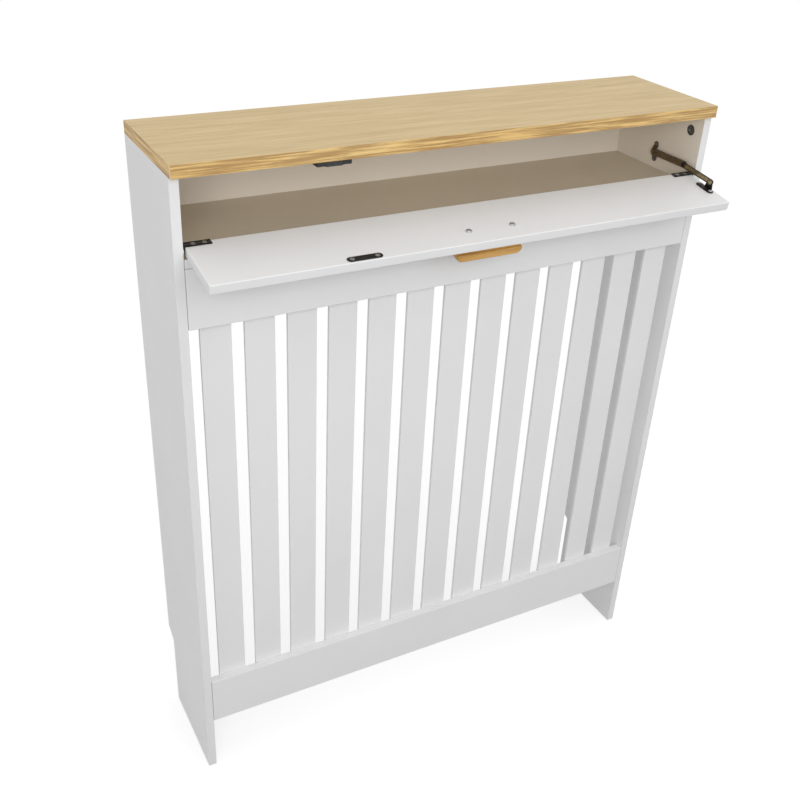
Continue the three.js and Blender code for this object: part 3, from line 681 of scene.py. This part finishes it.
# %% Handle
handle_head_depth = 10 * MM
handle_neck = 12 * MM
handle_corner = 7.84 * MM
handle_edge = 2.2 * MM
handle_dulled = 0.4 * MM
low, high = part_box("flap_handle")
middle_z = (low.z + high.z) / 2
bm = block(low, (high.x, low.y + handle_head_depth, high.z))
slice_at(bm, [middle_z - handle_neck / 2, middle_z + handle_neck / 2], 2)
strip = [face for face in bm.faces
         if face.normal.y > nearly_along and abs(face.calc_center_median().z - middle_z) < tiny]
neck = bmesh.ops.extrude_face_region(bm, geom=strip)
bmesh.ops.delete(bm, geom=strip, context="FACES_ONLY")
move_new(bm, neck, (0, high.y - low.y - handle_head_depth, 0))
bmesh.ops.dissolve_limit(bm, angle_limit=math.radians(1), verts=bm.verts, edges=bm.edges)
ease(bm, handle_corner, edges_along(bm, 2, lambda middle: middle.y < low.y + MM), segments=10)
head_back = low.y + handle_head_depth
rim = [edge for edge in sharp_edges(bm) if any(vert.co.y < head_back - tiny for vert in edge.verts)]
rim += edges_along(bm, 0, lambda at: abs(at.z - middle_z) > handle_neck / 2 + MM and abs(at.y - head_back) < tiny)
ease(bm, handle_edge, rim, segments=5)
ease(bm, handle_dulled, sharp_edges(bm, 50))
fit(bm, "flap_handle", "oak_handle", oak_handle,
    cutters=[hole(f"handle_screw_{side}", 1, handle_screw_shank) for side, _ in sides])
print("handle:", [round(v * 1000, 1) for v in high - low], "mm")

# %% [markdown]
# ## Screws and rivets
# A screw is a turned blank with a cross cut into its head. The pan heads stand proud and are domed; the
# countersunk ones sit flush in their plates. Length and head come from the measured part, so one function makes
# all fourteen. It shapes the screw pointing up, with the top of its head at the origin, then aims it.

# %% Screws
recess_slot = 0.9 * MM
recess_depth = 1.1 * MM
recess_reach = 0.6
tip_share = 0.35
tip_length = 1.6
pan_rim = (0.97, 0.85)
pan_dome = 0.6
handle_head_height = 2.2 * MM
catch_head_height = 1.4 * MM
stay_head_height = 1.1 * MM
plate_head_height = 1.0 * MM


def cross_recess(reach):
    """A tapered cross with its middle at the origin."""
    half = recess_slot / 2
    bm = block((-half, -half, -recess_depth), (half, half, recess_depth))
    walls = [face for face in bm.faces if abs(face.normal.z) < 0.5]
    for face in bmesh.ops.extrude_discrete_faces(bm, faces=walls)["faces"]:
        bmesh.ops.translate(bm, vec=face.normal * (reach - half), verts=face.verts)
    bmesh.ops.scale(bm, vec=(0.5, 0.5, 1), verts=[vert for vert in bm.verts if vert.co.z < 0])
    bmesh.ops.recalc_face_normals(bm, faces=bm.faces)
    return bm


def aim(node, outward):
    """The place of a fitting's outer end, looking outward, with its length and its radius."""
    low, high = part_box(node)
    outward = Vector(outward)
    half = (high - low) / 2
    length = 2 * abs(half.dot(outward))
    radius = max(h for h, o in zip(half, outward) if abs(o) < 0.5)
    end = (low + high) / 2 + outward * length / 2
    return Matrix.Translation(end) @ outward.to_track_quat("Z", "Y").to_matrix().to_4x4(), length, radius


def screw(node, outward, head_height, shank, slot, finish_used, flush=False):
    """A screw with a cross recess. A flush head is countersunk."""
    place, length, radius = aim(node, outward)
    tip = [(0, -length), (shank * tip_share, -length), (shank, -length + tip_length * shank)]
    if flush:
        head = [(shank, -head_height), (radius - tiny, -tiny), (radius - tiny, 0), (0, 0)]
    else:
        head = [(shank, -head_height), (radius * pan_rim[0], -head_height), (radius, -head_height * pan_rim[1])]
        head += dome(radius, -head_height * pan_dome, head_height * pan_dome)
    cross = cross_recess(radius * recess_reach)
    bmesh.ops.transform(cross, matrix=place, verts=cross.verts)
    fit(turned(tip + head), node, slot, finish_used, cutters=[cross], place=place)


steel = ("bright_steel", bright_steel)
for side, _ in sides:
    screw(f"handle_screw_{side}", (0, 1, 0), handle_head_height, handle_screw_shank, *steel)
    screw(f"strike_screw_{side}", (0, 1, 0), plate_head_height, screw_shank, *steel, flush=True)
    screw(f"catch_screw_{side}", (0, 0, -1), catch_head_height, screw_shank, *steel)
    for n in (1, 2):
        screw(f"hinge_screw_{side}_{n}", (0, 1, 0), plate_head_height, screw_shank, *steel, flush=True)
for end in ("upper", "lower"):
    screw(f"stay_wall_screw_{end}", (-1, 0, 0), stay_head_height, screw_shank, "antique_bronze", dark_zinc)
# Painted highlight: the outer screw of the flap bracket is bright steel, while the inner one, alike, is the stay's
# bronze.
for end, finish_used in (("outer", bright_steel), ("inner", antique_bronze)):
    screw(f"stay_flap_screw_{end}", (0, 1, 0), stay_head_height, screw_shank, "antique_bronze", finish_used)
print("screws:", len([node for node in frame["nodes"] if "_screw_" in node]))

# %% Rivets of the stay
rivet_head_height = 1.2 * MM
rivet_tail_height = 0.9 * MM
rivet_radius = 2 * MM
tail_share = 0.8
tail_edge = 0.2 * MM
rivet_dome = 0.75


def rivet(node, finish_used, tail=True):
    """A domed rivet that faces into the compartment, with a flat tail unless it ends flush."""
    place, length, radius = aim(node, (-1, 0, 0))
    points = [(0, -length)]
    if tail:
        wide = radius * tail_share
        points += [(wide * 0.9, -length), (wide, -length + tail_edge), (wide, -length + rivet_tail_height)]
        points.append((rivet_radius, -length + rivet_tail_height))
    else:
        points.append((rivet_radius, -length))
    points += [(rivet_radius, -rivet_head_height), (radius, -rivet_head_height)]
    points += dome(radius, -rivet_head_height * rivet_dome, rivet_head_height * rivet_dome)
    fit(turned(points), node, "antique_bronze", finish_used, place=place)


rivet("stay_rear_rivet", antique_bronze)
# Painted shade and painted highlight: the knee rivet takes the nearly black bronze and the front rivet the paler one.
rivet("stay_knee_rivet", painted_shade_bronze, tail=False)
rivet("stay_front_rivet", painted_highlight_bronze)
print("rivets:", len([node for node in frame["nodes"] if node.endswith("_rivet")]))

# %% [markdown]
# ## The stay's arms
# The stay is two flat steel arms that fold at the knee. Each is shaped lying flat: a thin block whose four
# upright edges are rounded until its ends are half circles. Its visible face is inset and pressed in a little,
# which leaves a raised rim like the rolled edge of the real arm. On the front arm that rim is painted near-black as
# painted shade, and the face paler as a painted highlight. The arm is then laid between the centres of its two
# rivets.

# %% Arms
rim_width = 1.3 * MM
press_depth = 0.5 * MM
sheet_edge = 0.2 * MM
face_flatness = 0.97
full_round = 0.998
seam_share = 0.004
rivet_reach = 5 * MM


def dull(bm):
    """Takes the sharpness off the rims of sheet metal."""
    ease(bm, sheet_edge, sharp_edges(bm, sheet_angle), segments=2)


def middle_of(node):
    """The middle of a part's box at rest."""
    low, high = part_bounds(node)
    return (low + high) / 2


def arm(node, start_node, end_node, face_finish, rim_finish):
    """A round-ended arm between two rivets, with a finish for its faces and one for its rim."""
    low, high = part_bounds(node)
    start, end = middle_of(start_node), middle_of(end_node)
    start.x = end.x = high.x
    reach = (end - start).length
    width = (high.y - low.y) - abs(end.y - start.y)
    thickness = high.x - low.x
    bm = block((-width / 2, -width / 2, 0), (reach + width / 2, width / 2, thickness))
    ease(bm, width / 2 * full_round, edges_along(bm, 2), segments=12)
    bmesh.ops.remove_doubles(bm, verts=bm.verts, dist=width * seam_share)
    face = max(bm.faces, key=lambda f: f.normal.z * f.calc_area())
    bmesh.ops.inset_region(bm, faces=[face], thickness=rim_width, depth=-press_depth, use_even_offset=True)
    dull(bm)
    for face in bm.faces:
        face.material_index = 1 if abs(face.normal.z) < face_flatness else 0
    along = (end - start).normalized()
    across = Vector((-1, 0, 0)).cross(along)
    turn = Matrix((along, across, (-1, 0, 0))).transposed().to_4x4()
    through = Vector((rivet_reach, 0, 0))
    holes = [cylinder(at - through, at + through, rivet_radius + running_gap) for at in (start, end)]
    place = Matrix.Translation(start) @ turn
    fit(bm, node, "antique_bronze", face_finish, rim_finish, place=place, cutters=holes)
    print(node, "pivot to pivot:", round(reach * 1000, 2), "mm")


arm("stay_rear_arm", "stay_rear_rivet", "stay_knee_rivet", antique_bronze, antique_bronze)
# Painted highlight and painted shade: the front arm's face takes the paler bronze and its rim the nearly black one.
arm("stay_front_arm", "stay_knee_rivet", "stay_front_rivet", painted_highlight_bronze, painted_shade_bronze)

# %% [markdown]
# ## The stay's brackets
# Both brackets are pressed from sheet. Sheet metal is easiest as a single skin: cut the flat blank, fold it by
# moving its edges, round its corners and its folds, and only then let Solidify give it a thickness. The wall
# bracket is a strip with a raised middle for the pivot. The flap bracket is a plate with one tab folded up, wide
# at its foot and narrow at the pivot.

# %% Wall bracket
sheet_thickness = 1.2 * MM
bridge_flat = 5.5 * MM
fold_radius = 0.9 * MM
fold_angle = 20
blunt_end = 0.46


def skin(corners):
    """One flat face with these corners."""
    bm = bmesh.new()
    bm.faces.new([bm.verts.new(corner) for corner in corners])
    return bm


def round_corners(bm, verts, radius):
    """Rounds the corners of a flat skin."""
    bmesh.ops.bevel(bm, geom=verts, offset=radius, offset_type="OFFSET", segments=7, profile=0.5,
                    affect="VERTICES", clamp_overlap=True, material=-1)


def thicken(bm, towards):
    """Gives a folded skin the thickness of its sheet, grown towards a direction, and dulls its rims."""
    bmesh.ops.recalc_face_normals(bm, faces=bm.faces)
    widest = max(bm.faces, key=lambda face: face.calc_area())
    side = -1 if widest.normal.dot(Vector(towards)) > 0 else 1
    bmesh.ops.solidify(bm, geom=bm.faces[:], thickness=side * sheet_thickness)
    bmesh.ops.recalc_face_normals(bm, faces=bm.faces)
    dull(bm)


low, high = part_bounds("stay_wall_bracket")
middle = (low + high) / 2
rise = high.x - low.x - sheet_thickness
bm = skin([(high.x, low.y, low.z), (high.x, low.y, high.z), (high.x, high.y, high.z), (high.x, high.y, low.z)])
feet = bridge_flat + rise
slice_at(bm, [middle.z + step for step in (-feet, -bridge_flat, bridge_flat, feet)], 2)
bridge = [vert for vert in bm.verts if abs(vert.co.z - middle.z) < bridge_flat + tiny]
bmesh.ops.translate(bm, vec=(-rise, 0, 0), verts=bridge)
ends = [vert for vert in bm.verts if min(vert.co.z - low.z, high.z - vert.co.z) < tiny]
round_corners(bm, ends, (high.y - low.y) * blunt_end)
ease(bm, fold_radius, sharp_edges(bm, fold_angle), segments=4)
thicken(bm, (-1, 0, 0))
bores = [hole(f"stay_wall_screw_{end}", 0, screw_shank) for end in ("upper", "lower")]
bores.append(hole("stay_rear_rivet", 0, rivet_radius))
fit(bm, "stay_wall_bracket", "antique_bronze", antique_bronze, cutters=bores)
print("wall bracket:", [round(v * 1000, 1) for v in high - low], "mm")

# %% Flap bracket
tab_width = 8 * MM
tab_foot = 15 * MM
low, high = part_box("stay_flap_bracket")
rivet_low, rivet_high = part_box("stay_front_rivet")
pivot_z = (rivet_low.z + rivet_high.z) / 2
bm = skin([(low.x, low.y, low.z), (high.x, low.y, low.z), (high.x, low.y, high.z), (low.x, low.y, high.z)])
slice_at(bm, [pivot_z - tab_foot / 2, pivot_z + tab_foot / 2], 2)
fold = edges_along(bm, 2, lambda at: at.x > high.x - tiny and abs(at.z - pivot_z) < tiny)
tab = move_new(bm, bmesh.ops.extrude_edge_only(bm, edges=fold), (0, high.y - low.y, 0))
bmesh.ops.scale(bm, vec=(1, 1, tab_width / tab_foot), space=Matrix.Translation((0, 0, -pivot_z)), verts=tab)
round_corners(bm, tab, tab_width * blunt_end)
ends = [vert for vert in bm.verts if min(vert.co.z - low.z, high.z - vert.co.z) < tiny]
round_corners(bm, ends, (high.x - low.x) * blunt_end)
ease(bm, fold_radius, sharp_edges(bm, fold_angle), segments=4)
thicken(bm, (0, 1, 0))
bores = [hole(f"stay_flap_screw_{end}", 1, screw_shank) for end in ("outer", "inner")]
bores.append(hole("stay_front_rivet", 0, rivet_radius))
# Painted shade: the flap bracket takes the nearly black copy of the stay's bronze.
fit(bm, "stay_flap_bracket", "antique_bronze", painted_shade_bronze, cutters=bores)
print("flap bracket:", [round(v * 1000, 1) for v in high - low], "mm")

# %% [markdown]
# ## Hinges
# Each hinge is a narrow black strip, bent down at its outer end into the gap beside the flap, where a pin goes
# through it into a bush in the side panel. A groove is pressed along its middle to stiffen it, and its floor is
# painted pale grey metal as a painted highlight. The strip is a block; a plane marks off its outer end, and the
# underside of that end is extruded down as the bend. Two more planes mark off the groove, whose faces are inset and
# sunk. The rounded bend leaves faces of many corners that aren't quite flat, and a Boolean can drop one of them, so
# they are triangulated first.

# %% Hinge strips
strip_thickness = 1.2 * MM
groove_width = 1.6 * MM
groove_depth = 0.3 * MM
groove_face = 5 * MM
strip_bend = 1.0 * MM
strip_round = 0.45


def press_groove(bm, middle_z):
    """Sinks a groove along x into the face that looks along +y, and gives its floor the second finish, a painted
    highlight.
    """
    slice_at(bm, [middle_z - groove_width / 2, middle_z + groove_width / 2], 2)
    wide = [face for face in bm.faces
            if face.normal.y > nearly_along and face.calc_area() > groove_width * groove_face
            and abs(face.calc_center_median().z - middle_z) < groove_width / 4]
    bmesh.ops.inset_region(bm, faces=wide, thickness=groove_depth, depth=-groove_depth, use_even_offset=True)
    for face in wide:
        face.material_index = 1


def hinge_strip(side, sign):
    """A grooved strip with its end bent down, drawn with the flap shut."""
    low, high = part_box(f"hinge_strip_{side}")
    leaf_low = Vector((low.x, high.y - strip_thickness, low.z))
    bend_x = high.x - strip_thickness if sign > 0 else low.x + strip_thickness
    bm = block(leaf_low, high)
    slice_at(bm, [bend_x], 0)
    under = [face for face in bm.faces
             if face.normal.y < -nearly_along and (face.calc_center_median().x - bend_x) * sign > 0]
    grown = bmesh.ops.extrude_face_region(bm, geom=under)
    bmesh.ops.delete(bm, geom=under, context="FACES_ONLY")
    move_new(bm, grown, (0, low.y - leaf_low.y, 0))
    ease(bm, (high.z - low.z) * strip_round, edges_along(bm, 0, lambda at: at.y < low.y + tiny), segments=8)
    bends = edges_along(bm, 2, lambda at: abs(at.x - bend_x) < 2 * strip_thickness and at.y > leaf_low.y - tiny)
    bends = [edge for edge in bends if edge.calc_face_angle(0) > math.radians(sheet_angle)]
    ease(bm, strip_bend, bends, segments=4)
    dull(bm)
    press_groove(bm, (low.z + high.z) / 2)
    bmesh.ops.triangulate(bm, faces=[face for face in bm.faces if len(face.verts) > 4])
    return bm


for side, sign in sides:
    node = f"hinge_strip_{side}"
    low, high = part_box(node)
    bores = [hole(f"hinge_screw_{side}_{n}", 1) for n in (1, 2)]
    bores.append(hole(f"hinge_pin_{side}", 0, pin_radius))
    # Painted highlight: the groove's floor takes the pale zinc finish.
    strip_piece = fit(hinge_strip(side, sign), node, "black_steel", black_steel, zinc, cutters=bores)
    print(node, len(strip_piece.data.polygons), "faces")

# %% [markdown]
# ## Pins and bushes
# The flap turns on two steel pins in plastic bushes. All four are round, so each is a profile spun about its own
# axis. The profile of a bush is closed, and Spin makes a ring of it, with no hole to cut afterwards.

# %% Pins and bushes
pin_chamfer = 0.3 * MM
flange_thickness = 0.8 * MM
flange_edge = 0.2 * MM

for side, sign in sides:
    place, length, radius = aim(f"hinge_pin_{side}", (sign, 0, 0))
    pin = turned([(0, -length), (radius - pin_chamfer, -length), (radius, -length + pin_chamfer),
                  (radius, -pin_chamfer), (radius - pin_chamfer, 0), (0, 0)])
    fit(pin, f"hinge_pin_{side}", *steel, place=place)
    place, length, radius = aim(f"hinge_bush_{side}", (-sign, 0, 0))
    bore = pin_radius + running_gap
    bush = turned([(bore, -length), (bush_sleeve_radius, -length), (bush_sleeve_radius, -flange_thickness),
                   (radius, -flange_thickness), (radius, -flange_edge), (radius - flange_edge, 0),
                   (bore + pin_chamfer, 0), (bore, -pin_chamfer)], closed=True)
    fit(bush, f"hinge_bush_{side}", "white_plastic", white_plastic, place=place)
print("pins and bushes:", 2 * len(sides))

# %% [markdown]
# ## The magnetic catch
# A small black case under the top board holds a magnet, and a round-ended steel plate on the flap meets it. The
# plate's ends come from rounding its corners to half circles, as on the arms. The magnet is a block of its own in a
# pocket of the case, because it is a separate part of another material.

# %% Strike plate
plate_edge = 0.3 * MM
plate_seam = 0.02 * MM
low, high = part_box("strike_plate")
bm = block(low, high)
ease(bm, (high.z - low.z) / 2 * full_round, edges_along(bm, 1), segments=12)
bmesh.ops.remove_doubles(bm, verts=bm.verts, dist=plate_seam)
ease(bm, plate_edge, sharp_edges(bm, sheet_angle))
bores = [hole(f"strike_screw_{side}", 1) for side, _ in sides]
fit(bm, "strike_plate", "black_steel", black_steel, cutters=bores)
print("strike plate:", [round(v * 1000, 1) for v in high - low], "mm")

# %% Catch and magnet
pocket_gap = 0.3 * MM
case_edge = 1 * MM
magnet_edge = 0.5 * MM
magnet_low, magnet_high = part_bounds("catch_magnet")
room = Vector((pocket_gap, pocket_gap, pocket_gap))
pocket_low, pocket_high = magnet_low - room, magnet_high + room
pocket_low.y -= past_face
case = ease(block(*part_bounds("catch_case")), case_edge)
bores = [block(pocket_low, pocket_high)]
bores += [hole(f"catch_screw_{side}", 2, screw_shank) for side, _ in sides]
fit(case, "catch_case", "black_plastic", black_plastic, cutters=bores)
fit(ease(block(magnet_low, magnet_high), magnet_edge), "catch_magnet", "magnet", magnet_grey)
print("catch and magnet done")

# %% [markdown]
# ## Cam locks and bolts
# A cam lock is a cast disc, flush with the board, that a screwdriver turns to pull down on the head of a bolt. Its
# face has a rim, a sunk ring and a raised middle with a cross slot. The profile of that face is a list of heights,
# each at a share of the cam's radius.

# %% Cam locks
cam_lip = 0.3 * MM
ring_depth = 1.2 * MM
dish_depth = 0.5 * MM
cam_face = ((0.88, 0), (0.84, -ring_depth), (0.66, -ring_depth), (0.62, -tiny), (0.42, -tiny),
            (0.38, -dish_depth), (0, -dish_depth))
cam_slot_reach = 0.34
cam_slot_growth = (1.3, 1.3, 2.2)


def cam_lock(node, sign):
    """A cam with its sunk ring, cross slot and the channel that takes the bolt's head."""
    place, length, radius = aim(node, (-sign, 0, 0))
    side = [(0, -length), (radius, -length), (radius, -cam_lip), (radius - cam_lip, 0)]
    bm = turned(side + [(radius * share, height) for share, height in cam_face], segments=56)
    slot = cross_recess(radius * cam_slot_reach)
    bmesh.ops.scale(slot, vec=cam_slot_growth, verts=slot.verts)
    bmesh.ops.transform(slot, matrix=place, verts=slot.verts)
    bolt_low, bolt_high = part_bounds(node.replace("lock", "bolt"))
    middle = (bolt_low + bolt_high) / 2
    channel = cylinder((middle.x, middle.y, bolt_low.z - past_face), (middle.x, middle.y, middle.z),
                       cam_bolt_radius + running_gap)
    fit(bm, node, "zinc", dark_zinc, cutters=[slot, channel], place=place)


# %% Cam bolts, and all four pairs
bolt_tip = 1.5 * MM
bolt_tip_share = 0.6
thread_and_collar = 10 * MM
bolt_shank = 2 * MM
bolt_head_height = 3 * MM


def cam_bolt(node):
    """A bolt with its thread up in the top board, a thin shank, and the head that its cam holds."""
    place, length, radius = aim(node, (0, 0, -1))
    neck = thread_and_collar - length
    bolt = turned([(0, -length), (radius * bolt_tip_share, -length), (radius, bolt_tip - length), (radius, neck),
                   (bolt_shank, neck), (bolt_shank, -bolt_head_height), (radius, -bolt_head_height),
                   (radius, -cam_lip), (radius - cam_lip, 0), (0, 0)])
    fit(bolt, node, *steel, place=place)


for side, sign in sides:
    for where in places:
        cam_lock(f"cam_lock_{side}_{where}", sign)
        cam_bolt(f"cam_bolt_{side}_{where}")
print("cam locks and bolts:", len(places) * len(sides), "of each")

# %% [markdown]
# ## Floor and light
# The studio is plain: a pale floor, a white surround, and two large soft lamps. The floor has to keep the object's
# shadow and still read as white. So what the camera and reflections in metal see of it is paler than what lights
# the object. Light Path tells the two apart.

# %% One look for the camera, another for the light
def grey_shader(owner, kind, grey, strength=None):
    """A shader node of one grey in a material or a world."""
    node = add_node(owner, kind)
    node.inputs["Color"].default_value = (grey, grey, grey, 1)
    if strength is not None:
        node.inputs["Strength"].default_value = strength
    return node.outputs[0]


def seen_directly(owner):
    """1 for camera, glossy and transmission rays, and 0 for the rays that light the object."""
    path = add_node(owner, "LightPath")
    seen = path.outputs["Is Camera Ray"]
    for name in ("Is Glossy Ray", "Is Transmission Ray"):
        larger = add_node(owner, "Math", operation="MAXIMUM")
        wire(owner, seen, larger.inputs[0])
        wire(owner, path.outputs[name], larger.inputs[1])
        seen = larger.outputs[0]
    return seen


def send(owner, lighting, seen, output):
    """Sends one shader to the rays that light the object, and another to those that show it."""
    mix = add_node(owner, "MixShader")
    for source, target in ((seen_directly(owner), "Fac"), (lighting, 1), (seen, 2)):
        wire(owner, source, mix.inputs[target])
    wire(owner, mix.outputs[0], owner.node_tree.nodes[output].inputs["Surface"])


# %% Floor
floor_radius = 7.0
floor_drop = 0.2 * MM
floor_segments = 96
lit_grey, shaded_grey, floor_glow = 0.30, 0.55, 0.54
bm = bmesh.new()
bmesh.ops.create_circle(bm, cap_ends=True, segments=floor_segments, radius=floor_radius)
bmesh.ops.translate(bm, vec=(0, 0, -floor_drop), verts=bm.verts)
floor = to_object(bm, "floor")
floor_paint = bpy.data.materials.new("floor")
floor_paint.use_nodes = True
floor_paint.node_tree.nodes.remove(floor_paint.node_tree.nodes["Principled BSDF"])
lit_floor = grey_shader(floor_paint, "BsdfDiffuse", lit_grey)
seen_floor = add_node(floor_paint, "AddShader")
shaded_floor = grey_shader(floor_paint, "BsdfDiffuse", shaded_grey)
glow = grey_shader(floor_paint, "Emission", 1, floor_glow)
wire(floor_paint, shaded_floor, seen_floor.inputs[0])
wire(floor_paint, glow, seen_floor.inputs[1])
send(floor_paint, lit_floor, seen_floor.outputs[0], "Material Output")
floor.data.materials.append(floor_paint)
print("floor radius:", floor_radius, "m")

# %% World
surround_light = 0.84
world = bpy.data.worlds.new("surround")
bpy.context.scene.world = world
world.use_nodes = True
world.node_tree.nodes.remove(world.node_tree.nodes["Background"])
send(world, grey_shader(world, "Background", 1, surround_light), grey_shader(world, "Background", 1, 1),
     "World Output")
print("surround:", surround_light)


# %% Lamps
def soft_lamp(name, place, size, spread, watts):
    """A large square lamp that looks at the flap, with its light kept to a cone."""
    data = bpy.data.lights.new(name, "AREA")
    data.size = size
    data.spread = math.radians(spread)
    data.energy = watts
    lamp = bpy.data.objects.new(name, data)
    lamp.location = place
    lamp.rotation_mode = "QUATERNION"
    lamp.rotation_quaternion = (lamp_target - Vector(place)).to_track_quat("-Z", "Y")
    bpy.context.scene.collection.objects.link(lamp)


centre = (measured_box[0] + measured_box[1]) / 2
lamp_target = Vector((centre.x, centre.y, 0.8))
soft_lamp("left_lamp", (-1.3, -2.2, 1.7), 1.0, 80, 4.0)
soft_lamp("right_lamp", (0.3, -1.8, 1.8), 1.0, 100, 2.0)
print("lamps: 2")

# %% [markdown]
# ## Last settings
# Standard view keeps colours as they are written.

bpy.context.scene.view_settings.view_transform = "Standard"
